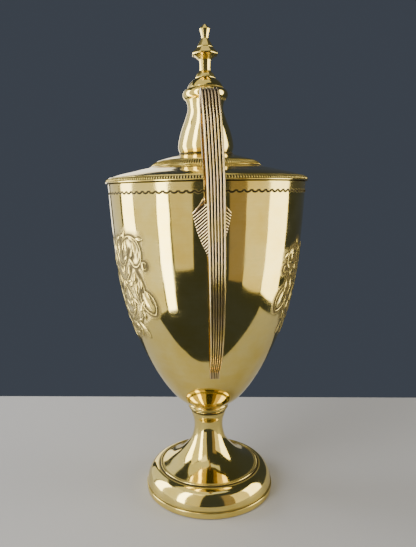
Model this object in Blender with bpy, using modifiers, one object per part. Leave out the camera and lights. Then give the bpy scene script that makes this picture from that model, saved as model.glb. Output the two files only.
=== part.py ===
"""Covered loving cup in polished brass: a spun foot and bowl, two cast strap handles, and a lift-off cover with its knob.

Metres, +Z up. The origin is under the middle of the foot, and the handles stand along X.
"""

import math

import bmesh
import bpy
from mathutils import Matrix, Vector

# The foot, with its stem and the collar under the bowl
FOOT_RADIUS = 0.0577
FOOT_HEIGHT = 0.0795
FOOT_BAND_HEIGHT = 0.0050
FOOT_REST_WIDTH = 0.0030
FOOT_STEP_RADIUS = 0.0440
FOOT_STEP_HEIGHT = 0.0218
FOOT_BEAD = 0.0008
STEM_RADIUS = 0.0130
STEM_WAIST_HEIGHT = 0.0580
COLLAR_RADIUS = 0.0184
COLLAR_HEIGHT = 0.0045
COLLAR_RIDGE = 0.0012
FOOT_WALL = 0.0015
STEM_CAP = 0.0030

# The bowl
BOWL_RADIUS = 0.0822
BOWL_HEIGHT = 0.1945
BOWL_SEAT_RADIUS = 0.0186
BOWL_WALL = 0.0014
BOWL_FLOOR = 0.0025

# The chased ornament on the bowl's two faces, which sits a little round from square with the handles
SCROLL_RADIUS = 0.0012
SCROLL_SINK = 0.0004
CHASED_LEAF_LENGTH = 0.0190
CHASED_LEAF_WIDTH = 0.0095
CHASED_LEAF_RISE = 0.0012
ORNAMENT_TURN = 4.75

# The cover, which overhangs the bowl's rim and has a plug that drops in the bowl's mouth
COVER_OVERHANG = 0.0020
COVER_HEIGHT = 0.0244
COVER_WALL = 0.0012
COVER_BAND_HEIGHT = 0.0040
COVER_BEAD = 0.0008
COVER_STEP_RADIUS = 0.0461
COVER_STEP_LOW = 0.0130
COVER_STEP_BAND = 0.0046
PLUG_CLEARANCE = 0.0006
PLUG_DEPTH = 0.0075

# The knob on the cover
KNOB_RADIUS = 0.0230
KNOB_FOOT_INSET = 0.0014
KNOB_NECK_RADIUS = 0.0146
KNOB_BEAD_RADIUS = 0.0186
KNOB_BEAD_HEIGHT = 0.0088
KNOB_TOP_RADIUS = 0.0090
KNOB_HEIGHT = 0.0585
KNOB_WALL = 0.0012

# The eight-sided finial, measured across its flats
FINIAL_SIDES = 8
FINIAL_HEIGHT = 0.0419
FINIAL_BASE = 0.0160
FINIAL_SHAFT = 0.0086
FINIAL_FLANGE = 0.0206
FINIAL_NECK = 0.0054
FINIAL_TIP = 0.0084

# The handles: how far they stand out from the bowl's rim and rise over it, and where they meet the wall
STRAP_WIDTH = 0.0117
STRAP_END_WIDTH = 0.0078
STRAP_BODY = 0.0019
REED_COUNT = 6
REED_RISE = 0.0009
HANDLE_OUTREACH = 0.0518
HANDLE_GRIP = 0.0450
HANDLE_RISE = 0.0535
HANDLE_LEAN = math.radians(1.1)
HANDLE_TOP_LEAN = math.radians(2.7)
LANDING_DROP = 0.1533
LANDING_LENGTH = 0.0085
LANDING_SWEEP = 0.0460
LANDING_RISE = 0.0210
LEAF_TOP_DROP = 0.0100
LEAF_LENGTH = 0.0503
LEAF_WIDTH = 0.0272
LEAF_FLARE = 0.23
LEAF_THICKNESS = 0.0016
LEAF_RIB_RISE = 0.0006
LEAF_RIB_PITCH = 0.0042
# The strap starts thin inside the leaf, at this share of its thickness and this far above the leaf's back
STRAP_START = 0.25
STRAP_SINK = 0.00015

# The gap between pieces that rest on each other
GAP = 0.0003

ROUND_STEPS = 32
KNOB_STEPS = 20
BRASS = (0.80, 0.60, 0.27)

COVER_RADIUS = BOWL_RADIUS + COVER_OVERHANG
HANDLE_REACH = BOWL_RADIUS + HANDLE_OUTREACH
BOWL_BASE_Z = FOOT_HEIGHT + GAP
RIM_Z = BOWL_BASE_Z + BOWL_HEIGHT
COVER_Z = RIM_Z + GAP
KNOB_Z = COVER_Z + COVER_HEIGHT + GAP
FINIAL_Z = KNOB_Z + KNOB_HEIGHT + GAP


def clear_scene():
    for obj in list(bpy.data.objects):
        bpy.data.objects.remove(obj, do_unlink=True)


def new_collection(name, helpers=False):
    collection = bpy.data.collections.new(name)
    bpy.context.scene.collection.children.link(collection)
    collection.hide_render = helpers
    return collection


def brass(name, colour, roughness):
    material = bpy.data.materials.new(name)
    material.use_nodes = True
    shader = material.node_tree.nodes["Principled BSDF"]
    shader.inputs["Base Color"].default_value = (*colour, 1.0)
    shader.inputs["Roughness"].default_value = roughness
    shader.inputs["Metallic"].default_value = 1.0
    return material


def smooth_curve(points, steps):
    """Points along a smooth curve through these ones, with so many steps to each span."""
    knots = [Vector(point) for point in points]
    knots = [2 * knots[0] - knots[1], *knots, 2 * knots[-1] - knots[-2]]
    curve = []
    for before, start, end, after in zip(knots, knots[1:], knots[2:], knots[3:]):
        for step in range(steps):
            t = step / steps
            curve.append(
                0.5 * (2 * start + (end - before) * t
                       + (2 * before - 5 * start + 4 * end - after) * t ** 2
                       + (3 * start - before - 3 * end + after) * t ** 3)
            )
    curve.append(knots[-2])
    return curve


def inside_of(outline, wall):
    """The inner face of a wall of this thickness, bottom first, for an outer face that runs downwards."""
    inner = []
    for index, point in enumerate(outline):
        before = outline[max(index - 1, 0)]
        after = outline[min(index + 1, len(outline) - 1)]
        along = (after - before).normalized()
        inner.append(point + wall * Vector((along.y, -along.x)))
    return inner[::-1]


def turned(name, profile, steps, height, material, collection, first_angle=0.0):
    """A turned piece: its profile of (radius, height), run down the outer side, swept round by a Screw modifier."""
    mesh = bpy.data.meshes.new(name)
    turn = Matrix.Rotation(first_angle, 3, "Z")
    corners = [turn @ Vector((radius, 0, z)) for radius, z in profile]
    mesh.from_pydata(corners, [(i, i + 1) for i in range(len(corners) - 1)], [])
    mesh.materials.append(material)
    obj = bpy.data.objects.new(name, mesh)
    obj.location.z = height
    collection.objects.link(obj)
    screw = obj.modifiers.new("turned", "SCREW")
    screw.steps = screw.render_steps = steps
    screw.use_merge_vertices = True
    screw.merge_threshold = 0.0001
    screw.use_smooth_shade = True
    return obj


def add_object(name, mesh, material, collection):
    mesh.materials.append(material)
    obj = bpy.data.objects.new(name, mesh)
    collection.objects.link(obj)
    return obj


def evaluated_mesh(obj, name):
    """The mesh that an object's modifiers give, as a mesh of its own."""
    graph = bpy.context.evaluated_depsgraph_get()
    mesh = bpy.data.meshes.new_from_object(obj.evaluated_get(graph))
    mesh.name = name
    return mesh


def fill_pockets(mesh):
    """Keeps only the outer skin. Where ribs cross, a union can close off a pinch of air, which real metal would fill."""
    bm = bmesh.new()
    bm.from_mesh(mesh)
    left = set(bm.faces)
    skins = []
    while left:
        skin, edge_of = [], [left.pop()]
        while edge_of:
            face = edge_of.pop()
            skin.append(face)
            beside = {other for edge in face.edges for other in edge.link_faces} & left
            left -= beside
            edge_of += beside
        skins.append(skin)
    skins.sort(key=len)
    inner = [face for skin in skins[:-1] for face in skin]
    bmesh.ops.delete(bm, geom=inner, context="FACES")
    bm.to_mesh(mesh)
    bm.free()


def make_foot(collection):
    """A spun foot: a hollow trumpet stem that spreads to a rounded shoulder on a plain band."""
    stem_top = FOOT_HEIGHT - COLLAR_HEIGHT
    spread = FOOT_STEP_RADIUS - STEM_RADIUS
    drop = STEM_WAIST_HEIGHT - FOOT_STEP_HEIGHT
    stem = smooth_curve(
        [
            (STEM_RADIUS + 0.10 * spread, stem_top - 0.18 * COLLAR_HEIGHT),
            (STEM_RADIUS + 0.03 * spread, (stem_top + STEM_WAIST_HEIGHT) / 2),
            (STEM_RADIUS, STEM_WAIST_HEIGHT),
            (STEM_RADIUS + 0.08 * spread, STEM_WAIST_HEIGHT - 0.35 * drop),
            (STEM_RADIUS + 0.24 * spread, STEM_WAIST_HEIGHT - 0.56 * drop),
            (STEM_RADIUS + 0.42 * spread, STEM_WAIST_HEIGHT - 0.72 * drop),
            (STEM_RADIUS + 0.66 * spread, STEM_WAIST_HEIGHT - 0.87 * drop),
            (FOOT_STEP_RADIUS - FOOT_BEAD, FOOT_STEP_HEIGHT),
        ],
        1,
    )
    step = [
        Vector((FOOT_STEP_RADIUS - 0.6 * FOOT_BEAD, FOOT_STEP_HEIGHT + FOOT_BEAD)),
        Vector((FOOT_STEP_RADIUS + 0.6 * FOOT_BEAD, FOOT_STEP_HEIGHT + FOOT_BEAD)),
    ]
    shoulder_top = Vector((FOOT_STEP_RADIUS + FOOT_BEAD, FOOT_STEP_HEIGHT - 0.5 * FOOT_BEAD))
    shoulder_low = Vector((FOOT_RADIUS - 1.4 * FOOT_BEAD, FOOT_BAND_HEIGHT + FOOT_BEAD))
    reach = shoulder_low - shoulder_top
    shoulder = [
        Vector((shoulder_top.x + reach.x * math.sin(angle), shoulder_low.y - reach.y * math.cos(angle)))
        for angle in (math.radians(22.5 * index) for index in range(5))
    ]
    collar = [
        Vector((COLLAR_RADIUS, FOOT_HEIGHT)),
        Vector((COLLAR_RADIUS, FOOT_HEIGHT - 0.25 * COLLAR_HEIGHT)),
        Vector((COLLAR_RADIUS - COLLAR_RIDGE, FOOT_HEIGHT - 0.45 * COLLAR_HEIGHT)),
        Vector((COLLAR_RADIUS - COLLAR_RIDGE, FOOT_HEIGHT - 0.80 * COLLAR_HEIGHT)),
    ]
    band = [
        Vector((FOOT_RADIUS - 0.5 * FOOT_BEAD, FOOT_BAND_HEIGHT)),
        Vector((FOOT_RADIUS, FOOT_BEAD)),
        Vector((FOOT_RADIUS - 0.5 * FOOT_BEAD, 0)),
    ]
    rest_edge = FOOT_RADIUS - 0.5 * FOOT_BEAD - FOOT_REST_WIDTH
    hollow = inside_of(shoulder, FOOT_WALL)[:-1:2] + inside_of(stem, FOOT_WALL)[1:-2]
    profile = [
        Vector((0, FOOT_HEIGHT)),
        *collar,
        *stem,
        *step,
        *shoulder,
        *band,
        Vector((rest_edge, 0)),
        Vector((rest_edge, FOOT_BEAD)),
        *hollow,
        Vector((hollow[-1].x, FOOT_HEIGHT - STEM_CAP)),
        Vector((0, FOOT_HEIGHT - STEM_CAP)),
    ]
    return turned("foot", profile, ROUND_STEPS, 0.0, brass("foot_brass", BRASS, 0.14), collection)


# The bowl's outline as shares of its height and of its mouth's radius, above its seat on the collar
BOWL_SHAPE = ((0.050, 0.368), (0.150, 0.538), (0.280, 0.697), (0.448, 0.842), (0.620, 0.924), (0.800, 0.970), (1, 1))


def bowl_outline():
    """The bowl's outer face from the rim down to the seat."""
    stations = [(BOWL_SEAT_RADIUS, 0.0)]
    stations += [(share * BOWL_RADIUS, height * BOWL_HEIGHT) for height, share in BOWL_SHAPE]
    return smooth_curve(stations[::-1], 2)


def bowl_radius(z):
    """The bowl's outer radius at this height above the ground."""
    height = z - BOWL_BASE_Z
    outline = bowl_outline()
    for above, below in zip(outline, outline[1:]):
        if below.y <= height <= above.y:
            share = (height - below.y) / (above.y - below.y)
            return below.x + share * (above.x - below.x)
    return outline[0].x if height > 0 else outline[-1].x


def make_bowl(collection, cutters):
    """A spun bowl, open at the top, with its chased ornament raised on the two faces between the handles."""
    outline = bowl_outline()
    hollow = [point for point in inside_of(outline, BOWL_WALL)[::2] if point.y > BOWL_FLOOR]
    hollow[-1] = Vector((BOWL_RADIUS - BOWL_WALL, BOWL_HEIGHT))
    profile = [Vector((0, BOWL_FLOOR)), Vector((BOWL_SEAT_RADIUS, BOWL_FLOOR)), *hollow, *outline, Vector((0, 0))]
    material = brass("bowl_brass", BRASS, 0.12)
    bowl = turned("bowl", profile, ROUND_STEPS, BOWL_BASE_Z, material, collection)
    chasing = make_chasing(material, cutters)
    raised = bowl.modifiers.new("chased ornament", "BOOLEAN")
    raised.operation = "UNION"
    raised.solver = "EXACT"
    raised.use_self = True
    raised.object = chasing
    return bowl


# The ornament's lines on one half of a face: degrees from the face's middle, and shares of the bowl's height
SCROLLS = (
    ((25, 0.705), (27, 0.765), (36, 0.793), (42.5, 0.755), (43, 0.695), (37, 0.670)),
    ((38, 0.650), (42.5, 0.590), (41, 0.530), (36, 0.470), (25, 0.385)),
    ((28, 0.672), (18, 0.690), (16.5, 0.760)),
    ((5, 0.720), (10, 0.655), (22, 0.585), (31, 0.525), (22, 0.465), (10, 0.500)),
    ((35, 0.430), (22, 0.365), (7, 0.420)),
)
# The leaves on one half of a face: the degrees and height share of each one's middle, and its turn from upright
LEAVES = ((48, 0.540, 27), (33, 0.405, -38))
# The leaf on the line down the face's middle: height share and turn
MIDDLE_LEAVES = ((0.590, 0),)


def on_wall(degrees, z, lift):
    """A place on the bowl's outer face, so many degrees round from +X. The wall is flat between the turning's steps."""
    step = 2 * math.pi / ROUND_STEPS
    angle = math.radians(degrees)
    from_middle = angle % step - step / 2
    radius = bowl_radius(z) * math.cos(step / 2) / math.cos(from_middle) + lift
    return Vector((radius * math.cos(angle), radius * math.sin(angle), z))


def scroll(bm, route):
    """A raised line: a rod with a ridge along it, its foot sunk in the wall, tapered to its ends."""
    path = [Vector(place) for place in route]
    rings = []
    for index, (degrees, share) in enumerate(path):
        taper = 0.55 + 0.45 * math.sin(math.pi * index / (len(path) - 1))
        size = SCROLL_RADIUS * taper
        z = BOWL_BASE_Z + share * BOWL_HEIGHT
        here = on_wall(degrees, z, -SCROLL_SINK)
        out = Vector((here.x, here.y, 0)).normalized()
        ahead = path[min(index + 1, len(path) - 1)] - path[max(index - 1, 0)]
        arc = math.radians(ahead.x) * bowl_radius(z)
        side = Vector((out.y, -out.x, 0)) * ahead.y * BOWL_HEIGHT + Vector((0, 0, 1)) * arc
        side.normalize()
        rings.append([bm.verts.new(here + size * corner) for corner in (1.3 * out, side, -side)])
    for first, second in zip(rings, rings[1:]):
        for index in range(3):
            after = (index + 1) % 3
            bm.faces.new((first[index], first[after], second[after], second[index]))
    bm.faces.new(rings[0][::-1])
    bm.faces.new(rings[-1])


def chased_leaf(bm, degrees, share, turn):
    """A raised leaf: a flattened ball drawn out to two points, half sunk in the wall."""
    ball = bmesh.ops.create_uvsphere(bm, u_segments=6, v_segments=4, radius=1.0)["verts"]
    z = BOWL_BASE_Z + share * BOWL_HEIGHT
    cos_turn, sin_turn = math.cos(math.radians(turn)), math.sin(math.radians(turn))
    for vert in ball:
        along = vert.co.z * CHASED_LEAF_LENGTH / 2
        across = vert.co.x * CHASED_LEAF_WIDTH / 2 * (1 - 0.3 * vert.co.z)
        lift = vert.co.y * CHASED_LEAF_RISE - 0.3 * SCROLL_SINK
        up = along * cos_turn - across * sin_turn
        round_wall = along * sin_turn + across * cos_turn
        angle = degrees + math.degrees(round_wall / bowl_radius(z))
        vert.co = on_wall(angle, z + up, lift)


def make_chasing(material, cutters):
    """The raised lines and leaves of both faces, as closed shapes that the bowl is joined with."""
    bm = bmesh.new()
    for face in (ORNAMENT_TURN - 90, ORNAMENT_TURN + 90):
        for side in (-1, 1):
            for route in SCROLLS:
                scroll(bm, [(face + side * degrees, share) for degrees, share in route])
            for degrees, share, turn in LEAVES:
                chased_leaf(bm, face + side * degrees, share, side * turn)
        for share, turn in MIDDLE_LEAVES:
            chased_leaf(bm, face, share, turn)
    bmesh.ops.recalc_face_normals(bm, faces=bm.faces)
    mesh = bpy.data.meshes.new("chasing")
    bm.to_mesh(mesh)
    bm.free()
    chasing = add_object("chasing", mesh, material, cutters)
    hide_helper(chasing)
    return chasing


def hide_helper(obj):
    obj.hide_render = True
    obj.display_type = "WIRE"


def make_cover(collection):
    """A spun cover: a beaded rim, a shallow slope and a small stepped top, with a plug that drops in the mouth."""
    band_top = COVER_BAND_HEIGHT
    step_top = COVER_STEP_LOW + COVER_STEP_BAND
    flat = KNOB_RADIUS - COVER_BEAD
    rise = COVER_STEP_RADIUS - flat
    run = COVER_RADIUS - COVER_STEP_RADIUS
    fall = COVER_STEP_LOW - band_top
    top = [
        Vector((flat, COVER_HEIGHT)),
        Vector((flat + 0.5 * COVER_BEAD, COVER_HEIGHT - COVER_BEAD)),
    ]
    crown = smooth_curve(
        [
            (flat + 0.10 * rise, COVER_HEIGHT - 0.30 * (COVER_HEIGHT - step_top)),
            (flat + 0.35 * rise, COVER_HEIGHT - 0.52 * (COVER_HEIGHT - step_top)),
            (flat + 0.62 * rise, COVER_HEIGHT - 0.80 * (COVER_HEIGHT - step_top)),
            (flat + 0.80 * rise, step_top),
        ],
        1,
    )
    step_band = [
        Vector((COVER_STEP_RADIUS - 2.4 * COVER_BEAD, COVER_STEP_LOW + 0.6 * COVER_STEP_BAND)),
        Vector((COVER_STEP_RADIUS, COVER_STEP_LOW + 0.2 * COVER_STEP_BAND)),
        Vector((COVER_STEP_RADIUS - 0.4 * COVER_BEAD, COVER_STEP_LOW)),
    ]
    slope = smooth_curve(
        [
            (COVER_STEP_RADIUS + 0.03 * run, COVER_STEP_LOW - 0.02 * fall),
            (COVER_STEP_RADIUS + 0.24 * run, COVER_STEP_LOW - 0.18 * fall),
            (COVER_STEP_RADIUS + 0.66 * run, COVER_STEP_LOW - 0.59 * fall),
            (COVER_STEP_RADIUS + 0.88 * run, COVER_STEP_LOW - 0.94 * fall),
        ],
        1,
    )
    rim = [
        Vector((COVER_RADIUS - 4.5 * COVER_BEAD, band_top + COVER_BEAD)),
        Vector((COVER_RADIUS - 3.7 * COVER_BEAD, band_top + COVER_BEAD)),
        Vector((COVER_RADIUS - 3.0 * COVER_BEAD, band_top)),
        Vector((COVER_RADIUS - 1.8 * COVER_BEAD, 0.80 * band_top)),
        Vector((COVER_RADIUS - 0.5 * COVER_BEAD, 0.45 * band_top)),
        Vector((COVER_RADIUS, 0.25 * band_top)),
        Vector((COVER_RADIUS - 0.3 * COVER_BEAD, 0.07 * band_top)),
        Vector((COVER_RADIUS - COVER_BEAD, 0)),
    ]
    plug_radius = BOWL_RADIUS - BOWL_WALL - PLUG_CLEARANCE
    plug = [
        Vector((plug_radius, 0)),
        Vector((plug_radius, -PLUG_DEPTH)),
        Vector((plug_radius - COVER_WALL, -PLUG_DEPTH)),
        Vector((plug_radius - COVER_WALL, band_top - 1.3 * COVER_WALL)),
    ]
    under_step = Vector((COVER_STEP_RADIUS - 0.4 * COVER_BEAD - COVER_WALL, COVER_STEP_LOW - COVER_WALL))
    under = inside_of(slope, COVER_WALL)[1:-1] + [under_step] + inside_of(crown, COVER_WALL)[:-1]
    profile = [
        Vector((0, COVER_HEIGHT)),
        *top,
        *crown,
        *step_band,
        *slope,
        *rim,
        *plug,
        *under,
        Vector((0, crown[0].y - COVER_WALL)),
    ]
    return turned("cover", profile, ROUND_STEPS, COVER_Z, brass("cover_brass", BRASS, 0.14), collection)


def make_knob(collection):
    """A spun knob: a hollow vase with a round moulding at its neck and a small dome above that."""
    dome_low = 0.875 * KNOB_HEIGHT
    bead_middle = 0.785 * KNOB_HEIGHT
    half_bead = KNOB_BEAD_HEIGHT / 2
    vase_top = bead_middle - half_bead
    drop = KNOB_RADIUS - KNOB_NECK_RADIUS
    dome_width = KNOB_NECK_RADIUS - KNOB_TOP_RADIUS
    dome = [
        Vector((KNOB_TOP_RADIUS + across * dome_width, KNOB_HEIGHT - down * (KNOB_HEIGHT - dome_low)))
        for across, down in ((0, 0), (0.43, 0.28), (0.80, 0.62), (1.07, 1))
    ]
    bead_width = KNOB_BEAD_RADIUS - KNOB_NECK_RADIUS
    bead = [
        Vector((KNOB_NECK_RADIUS + bead_width * math.sin(angle), bead_middle + half_bead * math.cos(angle)))
        for angle in (math.radians(36 * index) for index in range(1, 5))
    ]
    vase = smooth_curve(
        [
            (KNOB_NECK_RADIUS + 0.14 * drop, vase_top),
            (KNOB_NECK_RADIUS, 0.635 * KNOB_HEIGHT),
            (KNOB_NECK_RADIUS + 0.30 * drop, 0.455 * KNOB_HEIGHT),
            (KNOB_NECK_RADIUS + 0.655 * drop, 0.315 * KNOB_HEIGHT),
            (KNOB_RADIUS - 0.07 * drop, 0.175 * KNOB_HEIGHT),
            (KNOB_RADIUS, 0.090 * KNOB_HEIGHT),
            (KNOB_RADIUS - KNOB_FOOT_INSET, 0),
        ],
        1,
    )
    hollow = inside_of(vase, KNOB_WALL)
    hollow[0] = Vector((vase[-1].x - KNOB_WALL, 0))
    profile = [
        Vector((0, KNOB_HEIGHT)),
        *dome,
        *bead,
        *vase,
        *hollow,
        Vector((KNOB_NECK_RADIUS - 2 * KNOB_WALL, dome_low)),
        Vector((0, KNOB_HEIGHT - 2 * KNOB_WALL)),
    ]
    return turned("cover_knob", profile, KNOB_STEPS, KNOB_Z, brass("knob_brass", BRASS, 0.14), collection)


def make_finial(collection):
    """A cast finial with eight sides: a base, a shaft, a flange under a bell, and a pointed tip on a thin neck."""
    base, shaft, flange = FINIAL_BASE / 2, FINIAL_SHAFT / 2, FINIAL_FLANGE / 2
    neck, tip = FINIAL_NECK / 2, FINIAL_TIP / 2
    flats = [
        (0, 1.000), (0.21 * tip, 0.990), (tip, 0.905), (0.94 * tip, 0.885), (1.03 * neck, 0.780),
        (neck, 0.735), (1.23 * neck, 0.710), (0.51 * flange, 0.620), (0.60 * flange, 0.580),
        (0.60 * flange, 0.572), (0.71 * flange, 0.535), (flange, 0.460), (flange, 0.440),
        (0.85 * flange, 0.428), (0.72 * flange, 0.402), (1.08 * shaft, 0.345), (shaft, 0.280),
        (1.04 * shaft, 0.140), (0.72 * base, 0.100), (0.83 * base, 0.082), (base, 0.010), (base, 0), (0, 0),
    ]
    half_side = math.pi / FINIAL_SIDES
    profile = [Vector((radius / math.cos(half_side), share * FINIAL_HEIGHT)) for radius, share in flats]
    material = brass("finial_brass", BRASS, 0.16)
    finial = turned("finial", profile, FINIAL_SIDES, FINIAL_Z, material, collection, half_side)
    finial.modifiers["turned"].use_smooth_shade = False
    return finial


def cubic(start, pull, push, end, steps):
    """Points of a cubic curve that leaves start towards pull and comes to end from push."""
    curve = []
    for step in range(1, steps + 1):
        t = step / steps
        s = 1 - t
        curve.append(s ** 3 * start + 3 * s * s * t * pull + 3 * s * t * t * push + t ** 3 * end)
    return curve


def off_wall(z, distance):
    """The point (distance from the cup's axis, height) that lies this far off the bowl's outer face at this height."""
    nearby = 0.0005
    along = Vector((bowl_radius(z + nearby) - bowl_radius(z - nearby), 2 * nearby)).normalized()
    return Vector((bowl_radius(z), z)) + distance * Vector((along.y, -along.x))


def strap_route():
    """The strap's middle line in its own plane, (distance from the cup's axis, height), from the leaf to the low end."""
    half = (STRAP_BODY + REED_RISE) / 2
    neck_z = RIM_Z - LEAF_TOP_DROP
    start = off_wall(neck_z - 0.13 * LEAF_LENGTH, GAP + STRAP_SINK + STRAP_START * half)
    neck = off_wall(neck_z, GAP + STRAP_SINK + 1.4 * half)
    inner = HANDLE_REACH - HANDLE_GRIP
    top = Vector((HANDLE_REACH - HANDLE_GRIP / 2, RIM_Z + HANDLE_RISE))
    outer = Vector((HANDLE_REACH, RIM_Z + 0.2 * HANDLE_RISE))
    low_z = RIM_Z - LANDING_DROP
    low = off_wall(low_z, GAP + half)
    low_middle = off_wall(low_z + 0.47 * LANDING_LENGTH, GAP + 1.1 * half)
    bend = off_wall(low_z + LANDING_LENGTH, GAP + 1.5 * half)
    fall = outer.y - bend.y
    bow = Vector((inner, RIM_Z + 0.35 * HANDLE_RISE))
    over_rim = Vector((inner - 0.5 * half, RIM_Z))
    route = smooth_curve([start, neck, over_rim, bow], 2)
    route += cubic(bow, bow + Vector((0, 0.40 * HANDLE_RISE)), top - Vector((0.32 * HANDLE_GRIP, 0)), top, 4)
    route += cubic(top, top + Vector((0.32 * HANDLE_GRIP, 0)), outer + Vector((0, 0.45 * HANDLE_RISE)), outer, 4)
    route += cubic(outer, outer - Vector((0, 0.58 * fall)), bend + Vector((LANDING_SWEEP, LANDING_RISE)), bend, 8)
    return route + [low_middle, low]


def lean(point):
    """The handles were soldered on a little out of upright, so they lean about the height of the rim, more above it."""
    angle = HANDLE_TOP_LEAN if point.z > RIM_Z else HANDLE_LEAN
    return Vector((point.x, point.y + math.tan(angle) * (RIM_Z - point.z), point.z))


def strap_section(width, depth):
    """The strap's section, (across, out): a flat back, and a front of half-round reeds side by side."""
    scale = depth * width / STRAP_WIDTH
    pitch = width / REED_COUNT
    front = STRAP_BODY * scale / 2 - REED_RISE * scale / 2
    back = -(STRAP_BODY + REED_RISE) * scale / 2
    rise = REED_RISE * scale
    section = [(0.47 * width, back), (0.5 * width, front)]
    for reed in range(REED_COUNT):
        right = width / 2 - reed * pitch
        section += [(right - 0.5 * pitch, front + rise), (right - pitch, front)]
    section.append((-0.47 * width, back))
    return section


def make_strap(material, helpers):
    """The cast strap, reeded along its outer face, lofted through its sections."""
    route = strap_route()
    bm = bmesh.new()
    rings = []
    for index, here in enumerate(route):
        ahead = (route[min(index + 1, len(route) - 1)] - route[max(index - 1, 0)]).normalized()
        out = Vector((-ahead.y, 0, ahead.x))
        share = index / (len(route) - 1)
        width = STRAP_WIDTH * (0.90 + 0.10 * min(1, 5 * share))
        width -= (STRAP_WIDTH - STRAP_END_WIDTH) * max(0, (share - 0.5) / 0.5)
        ring = [
            bm.verts.new(lean(Vector((here.x, across, here.y)) + lift * out))
            for across, lift in strap_section(width, min(1, STRAP_START + 0.5 * (1 - STRAP_START) * index))
        ]
        rings.append(ring)
    for first, second in zip(rings, rings[1:]):
        for index in range(len(first)):
            after = (index + 1) % len(first)
            bm.faces.new((first[index], first[after], second[after], second[index]))
    bm.faces.new(rings[0])
    bm.faces.new(rings[-1][::-1])
    bmesh.ops.recalc_face_normals(bm, faces=bm.faces)
    mesh = bpy.data.meshes.new("strap")
    bm.to_mesh(mesh)
    bm.free()
    strap = add_object("strap", mesh, material, helpers)
    hide_helper(strap)
    return strap


def leaf_half_width(share):
    """Half the leaf's width at this share of its length below the neck: a hollow flare, then a long point."""
    neck = 0.45 * STRAP_WIDTH
    widest = LEAF_WIDTH / 2
    if share < LEAF_FLARE:
        return neck + (widest - neck) * (share / LEAF_FLARE) ** 1.5
    taper = (share - LEAF_FLARE) / (1 - LEAF_FLARE)
    return widest * (1 - taper ** 1.45)


def make_leaf(material, helpers):
    """The ribbed leaf that ends the strap, lying on the bowl. Its ribs run down and out from the middle."""
    neck_z = RIM_Z - LEAF_TOP_DROP
    rows = 2 * round(LEAF_LENGTH / LEAF_RIB_PITCH)
    bm = bmesh.new()
    bmesh.ops.create_grid(bm, x_segments=4, y_segments=rows, size=1.0)
    for vert in bm.verts:
        row = round((1 - vert.co.y) / 2 * rows)
        out = abs(vert.co.x)
        middle = row / rows
        edge = middle + LEAF_FLARE * (1 - middle) ** 0.6
        if row == 0:
            # The first row follows the hollow flare from the neck out to the leaf's corner
            share = LEAF_FLARE * max(0, 2 * out - 1)
            across = leaf_half_width(share) if out > 0.1 else 0
        else:
            share = middle + (edge - middle) * out
            across = out * leaf_half_width(edge)
        place = lean(Vector((0, math.copysign(across, vert.co.x), neck_z - share * LEAF_LENGTH)))
        lift = LEAF_THICKNESS - LEAF_RIB_RISE * (row % 2)
        vert.co = Vector((math.sqrt((bowl_radius(place.z) + GAP + lift) ** 2 - place.y ** 2), place.y, place.z))
    back = bmesh.ops.extrude_face_region(bm, geom=bm.faces[:])["geom"]
    for vert in (item for item in back if isinstance(item, bmesh.types.BMVert)):
        vert.co.x = math.sqrt((bowl_radius(vert.co.z) + GAP) ** 2 - vert.co.y ** 2)
    bmesh.ops.remove_doubles(bm, verts=bm.verts, dist=0.00005)
    bmesh.ops.recalc_face_normals(bm, faces=bm.faces)
    mesh = bpy.data.meshes.new("leaf")
    bm.to_mesh(mesh)
    bm.free()
    leaf = add_object("leaf", mesh, material, helpers)
    hide_helper(leaf)
    return leaf


def make_handles(collection, cutters):
    """Two cast handles, each a strap and its leaf in one piece, half a turn apart."""
    material = brass("handle_brass", (0.82, 0.61, 0.33), 0.16)
    strap = make_strap(material, cutters)
    joined = strap.modifiers.new("leaf", "BOOLEAN")
    joined.operation = "UNION"
    joined.solver = "EXACT"
    joined.object = make_leaf(material, cutters)
    bpy.context.view_layer.update()
    mesh = evaluated_mesh(strap, "handle")
    fill_pockets(mesh)
    mesh.shade_smooth()
    mesh.set_sharp_from_angle(angle=math.radians(40))
    for name, turn in (("handle_right", 0), ("handle_left", math.pi)):
        handle = bpy.data.objects.new(name, mesh)
        handle.rotation_euler.z = turn
        collection.objects.link(handle)


def main():
    clear_scene()
    cup = new_collection("loving_cup")
    cutters = new_collection("cutters", helpers=True)
    make_foot(cup)
    make_bowl(cup, cutters)
    make_handles(cup, cutters)
    make_cover(cup)
    make_knob(cup)
    make_finial(cup)


main()
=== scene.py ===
"""The covered loving cup in polished brass, with spun walls, chased scrolls, cast handles, and recesses painted dark
as tarnish and shade.
"""

import math

import bmesh
import bpy
from mathutils import Matrix, Vector
from mathutils.kdtree import KDTree


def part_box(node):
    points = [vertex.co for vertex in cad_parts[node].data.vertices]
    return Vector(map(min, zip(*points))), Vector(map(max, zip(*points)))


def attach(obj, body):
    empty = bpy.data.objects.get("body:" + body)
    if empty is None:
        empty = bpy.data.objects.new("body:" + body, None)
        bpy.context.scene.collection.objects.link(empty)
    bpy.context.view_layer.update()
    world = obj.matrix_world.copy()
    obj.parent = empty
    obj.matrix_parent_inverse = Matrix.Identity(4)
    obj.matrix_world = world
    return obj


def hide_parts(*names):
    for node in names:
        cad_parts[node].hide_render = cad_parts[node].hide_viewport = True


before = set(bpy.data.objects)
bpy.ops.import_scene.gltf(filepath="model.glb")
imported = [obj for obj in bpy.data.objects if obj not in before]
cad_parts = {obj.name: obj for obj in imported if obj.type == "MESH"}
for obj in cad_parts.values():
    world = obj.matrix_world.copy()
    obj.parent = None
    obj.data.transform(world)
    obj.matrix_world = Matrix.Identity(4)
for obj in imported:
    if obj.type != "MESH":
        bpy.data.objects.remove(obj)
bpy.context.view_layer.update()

# The foot
# One sheet of brass spun over a former: a trumpet stem that flares to a thin raised step, then a rounded shoulder
# and a plain turned band. It stands on the band's lower edge, is hollow underneath, and is soldered to the bowl.
foot_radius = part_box("foot")[1].x
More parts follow.
